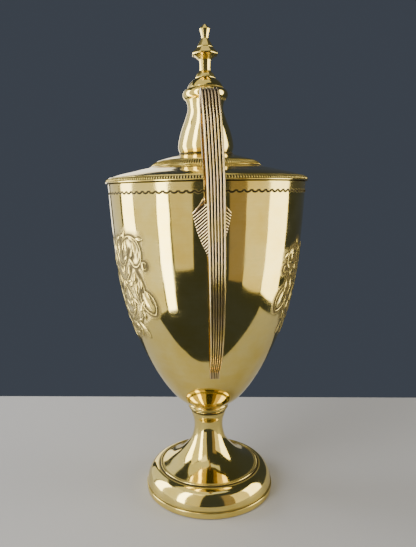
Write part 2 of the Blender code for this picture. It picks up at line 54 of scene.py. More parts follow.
foot_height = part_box("foot")[1].z
collar_radius = 0.0184
stem_radius = 0.0130
step_radius = 0.0440
step_height = 0.0218
foot_band = 0.0050
foot_rest = 0.0030
fine_bead = 0.0008
foot_wall = 0.0015
joint_gap = 0.0003
stem_cap = 0.0030


def smooth_curve(points, steps):
    """Points along a smooth curve through these ones, with so many steps to each span."""
    knots = [Vector(point) for point in points]
    knots = [2 * knots[0] - knots[1], *knots, 2 * knots[-1] - knots[-2]]
    curve = []
    for before, start, end, after in zip(knots, knots[1:], knots[2:], knots[3:]):
        for step in range(steps):
            t = step / steps
            curve.append(
                0.5 * (2 * start + (end - before) * t
                       + (2 * before - 5 * start + 4 * end - after) * t ** 2
                       + (3 * start - before - 3 * end + after) * t ** 3)
            )
    curve.append(knots[-2])
    return curve


def arc(middle, width, height, start, end, steps):
    """Points of a round stretch, from one angle to another, where 0 degrees points up and 90 outwards."""
    angles = [math.radians(start + (end - start) * step / steps) for step in range(steps + 1)]
    return [Vector((middle[0] + width * math.sin(angle), middle[1] + height * math.cos(angle))) for angle in angles]


def inside_of(outline, wall):
    """The inner face of a wall of this thickness, bottom first, for an outer face that runs downwards."""
    inner = []
    for index, point in enumerate(outline):
        along = (outline[min(index + 1, len(outline) - 1)] - outline[max(index - 1, 0)]).normalized()
        inner.append(point + wall * Vector((along.y, -along.x)))
    return inner[::-1]


def spun(profile, turns=180):
    """A bmesh of this (radius, height) profile: a sheet wrapped round the cup's axis and closed along its seams."""
    bm = bmesh.new()
    bmesh.ops.create_grid(bm, x_segments=turns, y_segments=len(profile) - 1, size=1.0)
    for vert in bm.verts:
        angle = math.pi * vert.co.x
        radius, z = profile[round((1 - vert.co.y) / 2 * (len(profile) - 1))]
        vert.co = (radius * math.cos(angle), radius * math.sin(angle), z)
    bmesh.ops.remove_doubles(bm, verts=bm.verts, dist=0.00001)
    bmesh.ops.recalc_face_normals(bm, faces=bm.faces)
    return bm


def hollows(bm, strength=3.0):
    """How far each corner lies below its neighbours, from 0 to 1: where polish doesn't reach and where shade falls,
    which the brass paints dark as tarnish and painted shade.
    """
    bm.normal_update()
    deep = []
    for vert in bm.verts:
        rises = [(edge.other_vert(vert).co - vert.co).normalized().dot(vert.normal) for edge in vert.link_edges]
        deep.append(max(0.0, sum(rises) / max(1, len(rises))))
    bm.verts.index_update()
    spread = list(deep)
    for vert in bm.verts:
        beside = [deep[edge.other_vert(vert).index] for edge in vert.link_edges]
        spread[vert.index] = min(1.0, strength * max(0.6 * max(beside, default=0.0), deep[vert.index]))
    return spread


def finish_piece(name, bm, material, nodes=(), recess=None, sharp=34):
    """Makes the bmesh an object on the cup's body, with its recesses marked for the tarnish and the painted shade.
    """
    depth = recess or hollows(bm)
    mesh = bpy.data.meshes.new(name)
    bm.to_mesh(mesh)
    bm.free()
    mesh.attributes.new("recess", "FLOAT", "POINT").data.foreach_set("value", depth)
    mesh.materials.append(material)
    mesh.shade_smooth()
    mesh.set_sharp_from_angle(angle=math.radians(sharp))
    piece = bpy.data.objects.new(name, mesh)
    bpy.context.scene.collection.objects.link(piece)
    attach(piece, "root")
    if nodes:
        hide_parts(*nodes)
    return piece


class Shade:
    """One output of a shader node. Python's operators on it add the Math nodes that work them out."""

    def __init__(self, tree, output=None):
        self.tree = tree
        self.output = output

    def node(self, kind, sockets, output=0, **settings):
        """A new node: its settings come first, then each socket takes a number or another shade."""
        made = self.tree.nodes.new("ShaderNode" + kind)
        for setting, value in settings.items():
            setattr(made, setting, value)
        for socket, value in sockets.items():
            if isinstance(value, Shade):
                self.tree.links.new(value.output, made.inputs[socket])
            else:
                made.inputs[socket].default_value = value
        return Shade(self.tree, made.outputs[output])

    def maths(self, operation, *values):
        return self.node("Math", dict(enumerate(values)), operation=operation)

    def __add__(self, other):
        return self.maths("ADD", self, other)

    def __sub__(self, other):
        return self.maths("SUBTRACT", self, other)

    def __rsub__(self, other):
        return self.maths("SUBTRACT", other, self)

    def __mul__(self, other):
        return self.maths("MULTIPLY", self, other)

    def __truediv__(self, other):
        return self.maths("DIVIDE", self, other)

    __radd__ = __add__
    __rmul__ = __mul__

    def between(self, low, high):
        """0 up to low, 1 from high on, and an even slope from one to the other."""
        return self.node("MapRange", {0: self, 1: low, 2: high, 3: 0.0, 4: 1.0})

    def tint(self, under, over):
        """A colour mixed from under where this is 0 to over where it is 1."""
        return self.node("Mix", {0: self, 6: under, 7: over}, output=2, data_type="RGBA")


def colour(red, green, blue):
    return (red, green, blue, 1.0)


polished = colour(0.80, 0.60, 0.13)
rubbed = colour(0.86, 0.70, 0.24)
coppery = colour(0.92, 0.66, 0.52)
dulled = colour(0.46, 0.34, 0.08)
matted_ground = colour(0.16, 0.12, 0.04)
# Near black: the recesses are painted towards it, as tarnish and as the shade that falls in them
tarnish_and_shade = colour(0.012, 0.008, 0.003)
bump_height = 0.00005


def brass(name, gloss, turned=True, matted=False, pink=0.0, waves=0.0):
    """Brass polished by hand over years: bright where a cloth reaches, with tarnish and painted shade in the
    recesses, and fine scratches.

    Turned brass is scratched round the cup's axis, matted brass is punched dull where its ground attribute says so,
    and pink brass has more copper in it. Hammered and spun sheet is never quite even, and waves is how much of that
    shows in what it reflects.
    """
    material = bpy.data.materials.new(name)
    material.use_nodes = True
    tree = material.node_tree
    shader = tree.nodes["Principled BSDF"]
    shader.inputs["Specular IOR Level"].default_value = 0.1
    place = Shade(tree).node("TexCoord", {}, output="Object")
    x = place.node("SeparateXYZ", {0: place}, output=0)
    y = place.node("SeparateXYZ", {0: place}, output=1)
    z = place.node("SeparateXYZ", {0: place}, output=2)
    radius = place.maths("SQRT", x * x + y * y) + 0.0001
    if turned:
        # Turning marks run round the cup, so they change fast along the profile and slowly round the axis
        across = (z - radius * 1.37) * 900.0
        marks = place.node("CombineXYZ", {0: x / radius * 2.0, 1: y / radius * 2.0, 2: across})
    else:
        marks = place.node("VectorMath", {0: place, 1: (1400.0, 1400.0, 260.0)}, operation="MULTIPLY")
    scratches = place.node("TexNoise", {"Vector": marks, "Scale": 1.0, "Detail": 4.0, "Roughness": 0.6})
    clouds = place.node("TexNoise", {"Vector": place, "Scale": 38.0, "Detail": 5.0, "Roughness": 0.62})
    specks = place.node("TexNoise", {"Vector": place, "Scale": 900.0, "Detail": 2.0})
    recess = place.node("Attribute", {}, output="Fac", attribute_name="recess")
    depth = (recess * (0.75 + 0.5 * clouds)).between(0.06, 0.62)
    worn = (clouds + 0.22 * scratches).between(0.44, 0.78)
    tone = worn.tint(polished, rubbed)
    tone = (0.30 * clouds.between(0.60, 0.82)).tint(tone, dulled)
    if pink:
        tone = (worn * pink).tint(tone, coppery)
    # Painted shade and tarnish: the deeper the recess, the nearer to black
    tone = (depth * 0.97).tint(tone, tarnish_and_shade)
    rough = gloss + 0.05 * scratches + 0.07 * clouds.between(0.50, 0.80) + 0.30 * depth
    # Tarnish is a dull crust, and the recesses also hold painted shade, so they mirror next to nothing
    metal = 1.0 - 0.9 * depth
    height = 0.35 * scratches
    if matted:
        ground = place.node("Attribute", {}, output="Fac", attribute_name="ground")
        punched = place.node("TexVoronoi", {"Vector": place, "Scale": 1150.0}, output="Distance")
        tone = (ground * 0.78).tint(tone, matted_ground)
        rough = rough + 0.22 * ground
        metal = metal - 0.15 * ground
        height = height + 6.0 * ground * punched
    height = height + 0.12 * specks
    if waves:
        height = height + waves * place.node("TexNoise", {"Vector": place, "Scale": 26.0, "Detail": 1.0})
    bump = place.node("Bump", {"Strength": 0.16, "Distance": bump_height, "Height": height})
    tree.links.new(tone.output, shader.inputs["Base Color"])
    tree.links.new(rough.output, shader.inputs["Roughness"])
    tree.links.new(metal.output, shader.inputs["Metallic"])
    tree.links.new(bump.output, shader.inputs["Normal"])
    return material


stem_top = foot_height - 0.0045
stem = smooth_curve(
    [
        (0.0164, stem_top),
        (0.0150, 0.0693),
        (0.0137, 0.0650),
        (stem_radius, 0.0605),
        (stem_radius, 0.0560),
        (0.0137, 0.0515),
        (0.0152, 0.0462),
        (0.0176, 0.0420),
        (0.0215, 0.0370),
        (0.0270, 0.0315),
        (0.0340, 0.0265),
        (0.0400, 0.0235),
        (step_radius - 1.2 * fine_bead, step_height + 0.0003),
    ],
    3,
)
collar = [Vector((0, foot_height))]
collar += arc((collar_radius - 0.0005, foot_height - 0.0005), 0.0005, 0.0005, 0, 120, 4)
collar += arc((collar_radius - 0.0002, foot_height - 0.0026), -0.0010, 0.0009, 20, 160, 5)
collar += arc((collar_radius - 0.0014, foot_height - 0.0041), 0.0005, 0.0005, 30, 170, 4)
raised_step = arc((step_radius, step_height + 0.0003), 0.0005, 0.0006, -80, 80, 6)
shoulder = arc((step_radius + fine_bead, foot_band + fine_bead), foot_radius - step_radius - 2.2 * fine_bead,
               step_height - foot_band - 1.4 * fine_bead, 0, 90, 14)
band = [
    Vector((foot_radius - 1.5 * fine_bead, foot_band + 0.5 * fine_bead)),
    Vector((foot_radius - 1.4 * fine_bead, foot_band + 0.2 * fine_bead)),
    *arc((foot_radius - 0.8 * fine_bead, foot_band - 0.6 * fine_bead), 0.7 * fine_bead, 0.7 * fine_bead,
         -20, 80, 5),
    Vector((foot_radius, 1.5 * fine_bead)),
    Vector((foot_radius - 0.2 * fine_bead, 0.3 * fine_bead)),
    Vector((foot_radius - 0.7 * fine_bead, 0)),
    Vector((foot_radius - 0.7 * fine_bead - foot_rest, 0)),
    Vector((foot_radius - 0.9 * fine_bead - foot_rest, fine_bead)),
]
foot_inside = inside_of(shoulder, foot_wall)[:-1] + inside_of(stem, foot_wall)[1:]
foot_profile = collar + stem + raised_step + shoulder + band + foot_inside
foot_profile += [Vector((foot_inside[-1].x, foot_height - stem_cap)), Vector((0, foot_height - stem_cap))]
finish_piece("foot_turned", spun(foot_profile), brass("foot brass", 0.06, waves=5.0), ["foot"])

# The bowl
# Spun from one sheet to a tall egg shape, open at the top, where the cover's plug drops in. A line of punched
# scallops runs under the rim, with a finely stippled band over it.
bowl_low, bowl_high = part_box("bowl")
mouth_radius = bowl_high.x
seat_radius = 0.0186
bowl_wall = 0.0014
bowl_floor = 0.0025
scallop_count = 88
scallop_low = 0.2665
scallop_high = 0.2683
line_radius = 0.00052
bowl_turns = 6 * scallop_count
bowl_shape = ((0, 0.224), (0.050, 0.368), (0.150, 0.538), (0.280, 0.697), (0.448, 0.842),
              (0.620, 0.924), (0.800, 0.970), (1, 1))
bowl_height = bowl_high.z - bowl_low.z
bowl_outline = smooth_curve(
    [(share * mouth_radius, bowl_low.z + height * bowl_height) for height, share in bowl_shape[::-1]], 24
)


def bowl_radius(z):
    """The bowl's outer radius at this height above the ground."""
    for above, below in zip(bowl_outline, bowl_outline[1:]):
        if below.y <= z <= above.y:
            share = (z - below.y) / (above.y - below.y)
            return below.x + share * (above.x - below.x)
    return mouth_radius if z > bowl_low.z else seat_radius


def on_wall(degrees, z, lift=0.0):
    """A place on the bowl's outer face, so many degrees round from +X."""
    radius = bowl_radius(z) + lift
    angle = math.radians(degrees)
    return Vector((radius * math.cos(angle), radius * math.sin(angle), z))


# The chased ornament
# Worked from the outside with punches on the two faces between the handles: traditional foliate scrolls that
# stand a little proud of a stippled ground. Each half of a face mirrors the other, and the work on the +Y face
# stops lower under the rim. The routes are places on half a face: degrees from its middle, and height.
ornament_turn = 4.75
short_from = 0.190
short_share = 0.76
scroll_radius = 0.00072
scroll_sink = -0.0003
scroll_steps = 5
leaflet_pitch = 0.0092
leaflet_length = 0.0090
leaflet_width = 0.0030
leaflet_spread = 26
scrolls = (
    # The outer loop at the top, curled in at its lower end
    ((24.5, 0.2165), (25.5, 0.2280), (30.5, 0.2335), (36, 0.2345), (41, 0.2315), (43.5, 0.2240), (43, 0.2160),
     (39.5, 0.2115), (35.5, 0.2125), (34, 0.2165), (36.5, 0.2195)),
    # The long outer stem, from the loop down to the lowest curl
    ((38.5, 0.2085), (41.5, 0.2020), (43, 0.1945), (42.5, 0.1870), (40, 0.1790), (36.5, 0.1710), (32, 0.1630),
     (27, 0.1560), (22.5, 0.1525), (18.5, 0.1535), (17, 0.1575), (19.5, 0.1605)),
    # The inner loop at the top, which crosses the outer one's foot
    ((33, 0.2240), (30, 0.2170), (25.5, 0.2110), (20, 0.2120), (17, 0.2180), (16.5, 0.2260), (19, 0.2320),
     (23, 0.2330), (24, 0.2290)),
    # The stem that winds from the middle out under the loops and back
    ((2.5, 0.2220), (5, 0.2140), (10, 0.2070), (16.5, 0.2010), (23, 0.1940), (28.5, 0.1870), (31, 0.1800),
     (28.5, 0.1730), (22.5, 0.1695), (16.5, 0.1710), (13, 0.1765), (14.5, 0.1820), (18, 0.1825)),
    # The stem that starts at the middle below and crosses it on the way up
    ((3, 0.1640), (8, 0.1715), (13.5, 0.1830), (19, 0.1900), (26, 0.1985), (31, 0.2050), (33.5, 0.2105)),
    ((37.5, 0.1840), (35, 0.1905), (34.5, 0.1970), (37, 0.2010)),
    ((2.5, 0.2050), (6, 0.1960), (6.5, 0.1880), (3.5, 0.1800)),
    ((6.5, 0.2320), (11, 0.2290), (12, 0.2210), (9, 0.2150)),
    ((5, 0.1575), (11, 0.1545), (14, 0.1600), (11.5, 0.1650)),
)
# The leaves on half a face: degrees, height, turn from upright in degrees, length, width. The first is framed.
leaves = (
    (44.6, 0.1838, -32, 0.0190, 0.0088),
    (35.0, 0.1590, -38, 0.0170, 0.0075),
    (25.0, 0.1620, -70, 0.0120, 0.0055),
    (29.5, 0.2265, 5, 0.0105, 0.0050),
    (38.0, 0.2265, -10, 0.0100, 0.0048),
    (20.5, 0.2235, 8, 0.0110, 0.0052),
    (36.8, 0.1775, 30, 0.0120, 0.0050),
    (25.5, 0.1800, 60, 0.0100, 0.0052),
    (21.0, 0.2065, -55, 0.0110, 0.0046),
    (10.5, 0.1970, 35, 0.0120, 0.0055),
    (9.0, 0.1790, 40, 0.0100, 0.0045),
    (30.0, 0.1965, 65, 0.0090, 0.0042),
)
middle_leaves = ((0.2130, 0, 0.0150, 0.0070), (0.1915, 0, 0.0150, 0.0085), (0.1715, 180, 0.0110, 0.0062),
                 (0.1530, 180, 0.0100, 0.0060))
chased_low = 0.146
chased_high = 0.239
ring_place = (45.5, 0.2128)
ring_radius = 0.0026
leaf_rise = 0.0008


def chased_height(face, z):
    """The height on this face of a place that the lists give for the taller of the two."""
    return z if face < 0 or z < short_from else short_from + short_share * (z - short_from)


routes = []
for face in (ornament_turn - 90, ornament_turn + 90):
    for side in (-1, 1):
        for route in scrolls:
            places = [(face + side * degrees, chased_height(face, z)) for degrees, z in route]
            routes.append([on_wall(degrees, z, scroll_sink) for degrees, z in smooth_curve(places, scroll_steps)])
        ring = []
        for index in range(17):
            angle = 2 * math.pi * index / 16
            degrees = face + side * ring_place[0] + math.degrees(ring_radius * math.cos(angle) / mouth_radius)
            z = chased_height(face, ring_place[1]) + ring_radius * math.sin(angle)
            ring.append(on_wall(degrees, z, scroll_sink))
        routes.append(ring)
        degrees, z, turn, length, width = leaves[0]
        slant = math.radians(turn)
        frame_line = []
        for index in range(33):
            angle = 2 * math.pi * index / 32
            along = 0.58 * length * math.cos(angle)
            across = 0.78 * width * math.sin(angle) * abs(math.sin(angle)) ** 0.4
            around = along * math.sin(slant) + across * math.cos(slant)
            up = along * math.cos(slant) - across * math.sin(slant)
            place = degrees + math.degrees(around / bowl_radius(z))
            frame_line.append(on_wall(face + side * place, z + up, scroll_sink))
        routes.append(frame_line)


def rods(name, paths, radius, taper):
    """Round rods along these paths as one bmesh, from a curve with a bevel."""
    data = bpy.data.curves.new(name, "CURVE")
    data.dimensions = "3D"
    data.bevel_depth = radius
    data.bevel_resolution = 2
    data.use_fill_caps = True
    for path in paths:
        spline = data.splines.new("POLY")
        spline.points.add(len(path) - 1)
        for index, (point, place) in enumerate(zip(spline.points, path)):
            share = index / (len(path) - 1)
            point.co = (*place, 1)
            point.radius = 1 - taper * abs(2 * share - 1) ** 3
    guide = bpy.data.objects.new(name, data)
    bpy.context.scene.collection.objects.link(guide)
    mesh = bpy.data.meshes.new_from_object(guide.evaluated_get(bpy.context.evaluated_depsgraph_get()))
    bm = bmesh.new()
    bm.from_mesh(mesh)
    bmesh.ops.remove_doubles(bm, verts=bm.verts, dist=0.00001)
    bmesh.ops.recalc_face_normals(bm, faces=bm.faces)
    bpy.data.objects.remove(guide)
    bpy.data.curves.remove(data)
    bpy.data.meshes.remove(mesh)
    return bm


def chased_leaf(into, degrees, z, turn, length, width, fine=True):
    """A leaf beaten up from the wall: pointed at its tip, round at its root, with a midrib and slanting veins.

    The leaflets aren't fine: they are small enough to need no veins, and only half as many faces.
    """
    bm = bmesh.new()
    bmesh.ops.create_uvsphere(bm, u_segments=20 if fine else 12, v_segments=18 if fine else 10, radius=1.0)
    cos_turn, sin_turn = math.cos(math.radians(turn)), math.sin(math.radians(turn))
    for vert in bm.verts:
        along, across, out = vert.co.z, vert.co.x, vert.co.y
        belly = (1 - max(0.0, along)) ** 0.25
        vein = 0.5 + 0.5 * math.cos(11 * (along - 0.9 * abs(across))) if fine else 0.5
        midrib = math.exp(-(across / 0.16) ** 2)
        lift = out * leaf_rise
        if out > 0:
            lift *= 0.50 + 0.42 * vein * (1 - midrib) + 0.50 * midrib
        along *= length / 2
        across *= belly * width / 2
        up = along * cos_turn - across * sin_turn
        around = along * sin_turn + across * cos_turn
        vert.co = on_wall(degrees + math.degrees(around / bowl_radius(z)), z + up, lift - 0.0001)
    leaf = bpy.data.meshes.new("leaf")
    bm.to_mesh(leaf)
    bm.free()
    into.from_mesh(leaf)
    bpy.data.meshes.remove(leaf)


ornament = rods("scrolls", routes, scroll_radius, 0.45)
leaf_places = []
for face in (ornament_turn - 90, ornament_turn + 90):
    for side in (-1, 1):
        for degrees, listed_z, turn, length, width in leaves:
            z = chased_height(face, listed_z)
            chased_leaf(ornament, face + side * degrees, z, side * turn, length, width)
            leaf_places.append(on_wall(face + side * degrees, z))
        # Leaflets stand out from the scrolls, first to one side and then to the other
        for route in scrolls:
            steps = smooth_curve([(degrees, chased_height(face, z)) for degrees, z in route], scroll_steps)
            travelled = 0.0
            count = 0
            for (degrees, z), (next_degrees, next_z) in zip(steps, steps[1:]):
                around = math.radians(next_degrees - degrees) * bowl_radius(z)
                travelled += math.hypot(around, next_z - z)
                if travelled > (count + 0.7) * leaflet_pitch:
                    heading = math.atan2(around, next_z - z) + math.radians(leaflet_spread) * (-1) ** count
                    offset = 0.62 * leaflet_length
                    place = degrees + math.degrees(offset * math.sin(heading) / bowl_radius(z))
                    chased_leaf(ornament, face + side * place, z + offset * math.cos(heading),
                                side * math.degrees(heading), leaflet_length, leaflet_width, fine=False)
                    leaf_places.append(on_wall(face + side * place, z + offset * math.cos(heading)))
                    count += 1
    for listed_z, turn, length, width in middle_leaves:
        z = chased_height(face, listed_z)
        chased_leaf(ornament, face, z, turn, length, width)
        leaf_places.append(on_wall(face, z))
bmesh.ops.recalc_face_normals(ornament, faces=ornament.faces)
# Painted shade: bright where it stands proud, and dark where it meets the wall, where shade falls
chased_depth = []
for vert in ornament.verts:
    proud = math.hypot(vert.co.x, vert.co.y) - bowl_radius(vert.co.z)
    chased_depth.append(min(0.9, max(0.0, 1.1 - proud / 0.00032)))
finish_piece("chased_scrolls", ornament, brass("chased brass", 0.15, turned=False),
             recess=chased_depth, sharp=60)

# Each scallop is one punched arc, deepest in its middle
scallops = []
for index in range(scallop_count):
    scallop = []
    for step in range(11):
        share = 0.07 + 0.86 * step / 10
        z = scallop_high - (scallop_high - scallop_low) * math.sin(math.pi * share) ** 0.8
        scallop.append(on_wall(360 * (index + share) / scallop_count, z, -0.0001))
    scallops.append(scallop)
scallop_bm = rods("scallops", scallops, line_radius, 0.8)
# The punched line is painted dark as the shade in its groove, a little less at the tops of its cusps
scallop_depth = [0.95 if vert.co.z < scallop_high - 0.0003 else 0.6 for vert in scallop_bm.verts]
finish_piece("scallop_line", scallop_bm, brass("scallop brass", 0.16, turned=False),
             recess=scallop_depth, sharp=80)

# The wall's rows are close together where the ornament and the scallops mark it, and wide apart elsewhere
wall = [Vector((mouth_radius - 0.0002, bowl_high.z))]
wall += [Vector((bowl_radius(z), z)) for z in (bowl_high.z - 0.0004, bowl_high.z - 0.0012)]
z = bowl_high.z - 0.002
while z > bowl_low.z + 0.0002:
    wall.append(Vector((bowl_radius(z), z)))
    if scallop_low - 0.002 < z < scallop_high + 0.002:
        z -= 0.0006
    elif chased_low < z < chased_high:
        z -= 0.0010
    else:
        z -= 0.0030 if z > 0.09 else 0.0015
wall.append(Vector((seat_radius, bowl_low.z)))
bowl_inside = [point for point in inside_of(wall[::9], bowl_wall) if point.y > bowl_low.z + bowl_floor]
bowl_inside[-1] = Vector((mouth_radius - bowl_wall, bowl_high.z - 0.0004))
bowl_profile = [Vector((0, bowl_low.z + bowl_floor)), *bowl_inside,
                Vector((mouth_radius - bowl_wall + 0.0003, bowl_high.z)), *wall, Vector((0, bowl_low.z))]
bowl = spun(bowl_profile, bowl_turns)


def nearest_of(places):
    """A tree that finds the nearest of these places, and how far off it is."""
    tree = KDTree(len(places))
    for index, place in enumerate(places):
        tree.insert(place, index)
    tree.balance()
    return tree


# How far the painted shade and the stippling reach over the wall from a scroll's line, a scallop's line and a leaf's
# middle
scroll_bed = 0.0024
scallop_bed = 0.0009
leaf_bed = 0.0045
marked_low = 0.140
marked_high = 0.272
plain_low = 0.245
plain_high = 0.255
lines = nearest_of([place for path in routes + scallops for place in path])
leaf_middles = nearest_of(leaf_places)
bowl_recess = hollows(bowl)
ground = [0.0] * len(bowl.verts)
for vert in bowl.verts:
    outside = vert.normal.dot(Vector((vert.co.x, vert.co.y, 0))) > 0
    if outside and marked_low < vert.co.z < marked_high:
        gap = lines.find(vert.co)[2]
        leaf_gap = leaf_middles.find(vert.co)[2]
        near = max(0.0, 1 - gap / (scallop_bed if vert.co.z > plain_high else scroll_bed), 0.7 - leaf_gap / leaf_bed)
        # Painted shade on the wall close to the scrolls, the scallops and the leaves, where they stand off it
        bowl_recess[vert.index] = max(bowl_recess[vert.index], min(1.0, 2.6 * near))
        if vert.co.z < plain_low:
            ground[vert.index] = min(1.0, max(0.0, 1.9 - gap / 0.0026, 1.6 - leaf_gap / leaf_bed))
    if outside and vert.co.z >= scallop_high + 0.0003:
        ground[vert.index] = 0.20
bowl_brass = brass("bowl brass", 0.04, matted=True, waves=44.0)
bowl_piece = finish_piece("bowl_spun", bowl, bowl_brass, ["bowl"], recess=bowl_recess)
bowl_piece.data.attributes.new("ground", "FLOAT", "POINT").data.foreach_set("value", ground)

# The handles
# Two brass castings, half a turn apart, soldered to the bowl: a strap with six reeds along its outer face, and a
# leaf with slanting ribs that hides the upper joint. The grooves between the reeds are painted dark, as tarnish and
# shade.
strap_width = 0.0117
strap_end_width = 0.0078
strap_body = 0.0019
reed_count = 6
reed_rise = 0.0009
handle_reach = mouth_radius + 0.0518
handle_grip = 0.0450
handle_rise = 0.0535
handle_lean = math.radians(1.1)
handle_top_lean = math.radians(2.7)
landing_drop = 0.1533
landing_length = 0.0085
landing_sweep = 0.0460
landing_rise = 0.0210
strap_sink = 0.00015
leaf_top = bowl_high.z - 0.0100
leaf_length = 0.0503
leaf_width = 0.0272
leaf_flare = 0.23
leaf_thickness = 0.0018
leaf_rib_rise = 0.0009
leaf_rib_pitch = 0.0023


def off_wall(z, distance):
    """The point (distance from the axis, height) that lies this far off the bowl's outer face at this height."""
    along = Vector((bowl_radius(z + 0.0005) - bowl_radius(z - 0.0005), 0.0010)).normalized()
    return Vector((bowl_radius(z), z)) + distance * Vector((along.y, -along.x))


def cubic(start, pull, push, end, steps):
    """Points of a cubic curve that leaves start towards pull and comes to end from push."""
    return [
        (1 - t) ** 3 * start + 3 * (1 - t) ** 2 * t * pull + 3 * (1 - t) * t * t * push + t ** 3 * end
        for t in (step / steps for step in range(1, steps + 1))
    ]


def strap_route():
    """The strap's middle line in its own plane, from inside the leaf, over the top and down to the low end."""
    half = (strap_body + reed_rise) / 2
    start = off_wall(leaf_top - 0.13 * leaf_length, joint_gap + 0.55 * half)
    neck = off_wall(leaf_top, joint_gap + strap_sink + 1.4 * half)
    inner = handle_reach - handle_grip
    rim = bowl_high.z + joint_gap
    bow = Vector((inner, rim + 0.35 * handle_rise))
    top = Vector((handle_reach - handle_grip / 2, rim + handle_rise))
    outer = Vector((handle_reach, rim + 0.2 * handle_rise))
    low_z = rim - landing_drop
    low = off_wall(low_z, joint_gap + half)
    low_middle = off_wall(low_z + 0.47 * landing_length, joint_gap + 1.1 * half)
    bend = off_wall(low_z + landing_length, joint_gap + 1.5 * half)
    fall = outer.y - bend.y
    route = smooth_curve([start, neck, Vector((inner - 0.5 * half, rim)), bow], 7)
    route += cubic(bow, bow + Vector((0, 0.40 * handle_rise)), top - Vector((0.32 * handle_grip, 0)), top, 14)
    route += cubic(top, top + Vector((0.32 * handle_grip, 0)), outer + Vector((0, 0.45 * handle_rise)), outer, 16)
    route += cubic(outer, outer - Vector((0, 0.58 * fall)), bend + Vector((landing_sweep, landing_rise)), bend, 44)
    return route + smooth_curve([bend, low_middle, low], 3)[1:]


def lean(point):
    """The handles stand a little out of upright, and a little more above the rim than below it."""
    below = bowl_high.z - point.z
    slant = math.tan(handle_lean if below > 0 else handle_top_lean)
    return Vector((point.x, point.y + slant * below, point.z))


def strap(bm):
    """Sweeps the reeded section along the route by extruding it from one station to the next."""
    pitch = strap_width / reed_count
    front = (strap_body - reed_rise) / 2
    section = [Vector((0.46 * strap_width, -strap_body / 2 - reed_rise / 2)), Vector((0.5 * strap_width, 0))]
    for reed in range(reed_count):
        middle = strap_width / 2 - (reed + 0.5) * pitch
        for degrees in (-80, -54, -27, 0, 27, 54, 80):
            angle = math.radians(degrees)
            section.append(Vector((middle - 0.32 * pitch * math.sin(angle), front + reed_rise * math.cos(angle))))
        if reed < reed_count - 1:
            section.append(Vector((middle - 0.5 * pitch, front - 0.2 * reed_rise)))
    section += [Vector((-0.5 * strap_width, 0)), Vector((-0.46 * strap_width, -strap_body / 2 - reed_rise / 2))]
    route = strap_route()
    stations = []
    for index, here in enumerate(route):
        ahead = (route[min(index + 1, len(route) - 1)] - route[max(index - 1, 0)]).normalized()
        share = index / (len(route) - 1)
        width = 0.90 + 0.10 * min(1, 5 * share) - (1 - strap_end_width / strap_width) * max(0, 2 * share - 1)
        depth = min(1, 0.25 + 0.11 * index) * width
        turn = Matrix(((0, -ahead.y, ahead.x), (1, 0, 0), (0, ahead.x, ahead.y))).to_4x4()
        place = Matrix.Translation(lean(Vector((here.x, 0, here.y))))
        stations.append(place @ turn @ Matrix.Diagonal((width, depth, 1, 1)))
    ring = [bm.verts.new(stations[0] @ Vector((across, out, 0))) for across, out in section]
    edges = [bm.edges.new((a, b)) for a, b in zip(ring, ring[1:] + ring[:1])]
    bmesh.ops.contextual_create(bm, geom=edges)
    for before, after in zip(stations, stations[1:]):
        made = bmesh.ops.extrude_edge_only(bm, edges=edges)["geom"]
        edges = [item for item in made if isinstance(item, bmesh.types.BMEdge)]
        moved = [item for item in made if isinstance(item, bmesh.types.BMVert)]
        bmesh.ops.transform(bm, matrix=after @ before.inverted(), verts=moved)
    bmesh.ops.contextual_create(bm, geom=edges)


def leaf_half_width(share):
    """Half the leaf's width at this share of its length: a hollow flare, then a long point."""
    neck = 0.45 * strap_width
    if share < leaf_flare:
        return neck + (leaf_width / 2 - neck) * (share / leaf_flare) ** 1.5
    taper = (share - leaf_flare) / (1 - leaf_flare)
    return leaf_width / 2 * (1 - taper ** 1.45)


def handle_leaf(bm):
    """Lays a grid on the bowl's wall, its rows slanting down from the middle as the ribs do, and thickens it."""
    ribs = round(leaf_length / leaf_rib_pitch)
    rows = 6 * ribs
    grid = bmesh.ops.create_grid(bm, x_segments=16, y_segments=rows, size=1.0)["verts"]
    for vert in grid:
        row = (1 - vert.co.y) / 2
        out = abs(vert.co.x)
        top = max(0.0, 1 - row * rows / 4)
        edge = row + leaf_flare * (1 - row) ** 0.6
        slanted = row + (edge - row) * out
        flared = leaf_flare * max(0.0, 2 * out - 1)
        share = slanted + (flared - slanted) * top
        across = out * leaf_half_width(edge)
        if top:
            across += (leaf_half_width(share) * min(1, 2 * out) - across) * top
        rib = 0.5 - 0.5 * math.cos(2 * math.pi * row * ribs)
        rim = max(0.0, 1 - (1 - out) / 0.10)
        place = lean(Vector((0, math.copysign(across, vert.co.x), leaf_top - share * leaf_length)))
        lift = leaf_thickness - leaf_rib_rise * (1 - rib ** 0.7) * (1 - rim) - 0.0006 * rim ** 2
        lift -= 0.0002 * out
        place.x = math.sqrt((bowl_radius(place.z) + joint_gap + lift) ** 2 - place.y ** 2)
        vert.co = place
    faces = list({face for vert in grid for face in vert.link_faces})
    back = bmesh.ops.extrude_face_region(bm, geom=faces)["geom"]
    for vert in (item for item in back if isinstance(item, bmesh.types.BMVert)):
        vert.co.x = math.sqrt((bowl_radius(vert.co.z) + joint_gap) ** 2 - vert.co.y ** 2)
    bmesh.ops.remove_doubles(bm, verts=bm.verts, dist=0.00002)


handle_brass = brass("handle brass", 0.13, turned=False, pink=0.80)
for node, turn in (("handle_right", 0), ("handle_left", math.pi)):
    handle = bmesh.new()
    handle_leaf(handle)
    strap(handle)
    bmesh.ops.recalc_face_normals(handle, faces=handle.faces)
    bmesh.ops.rotate(handle, matrix=Matrix.Rotation(turn, 3, "Z"), verts=handle.verts)
    # Strength 5 paints stronger shade into the handles' hollows, darkest between the reeds
    finish_piece(node + "_cast", handle, handle_brass, [node],
                 recess=hollows(handle, 5.0), sharp=50)

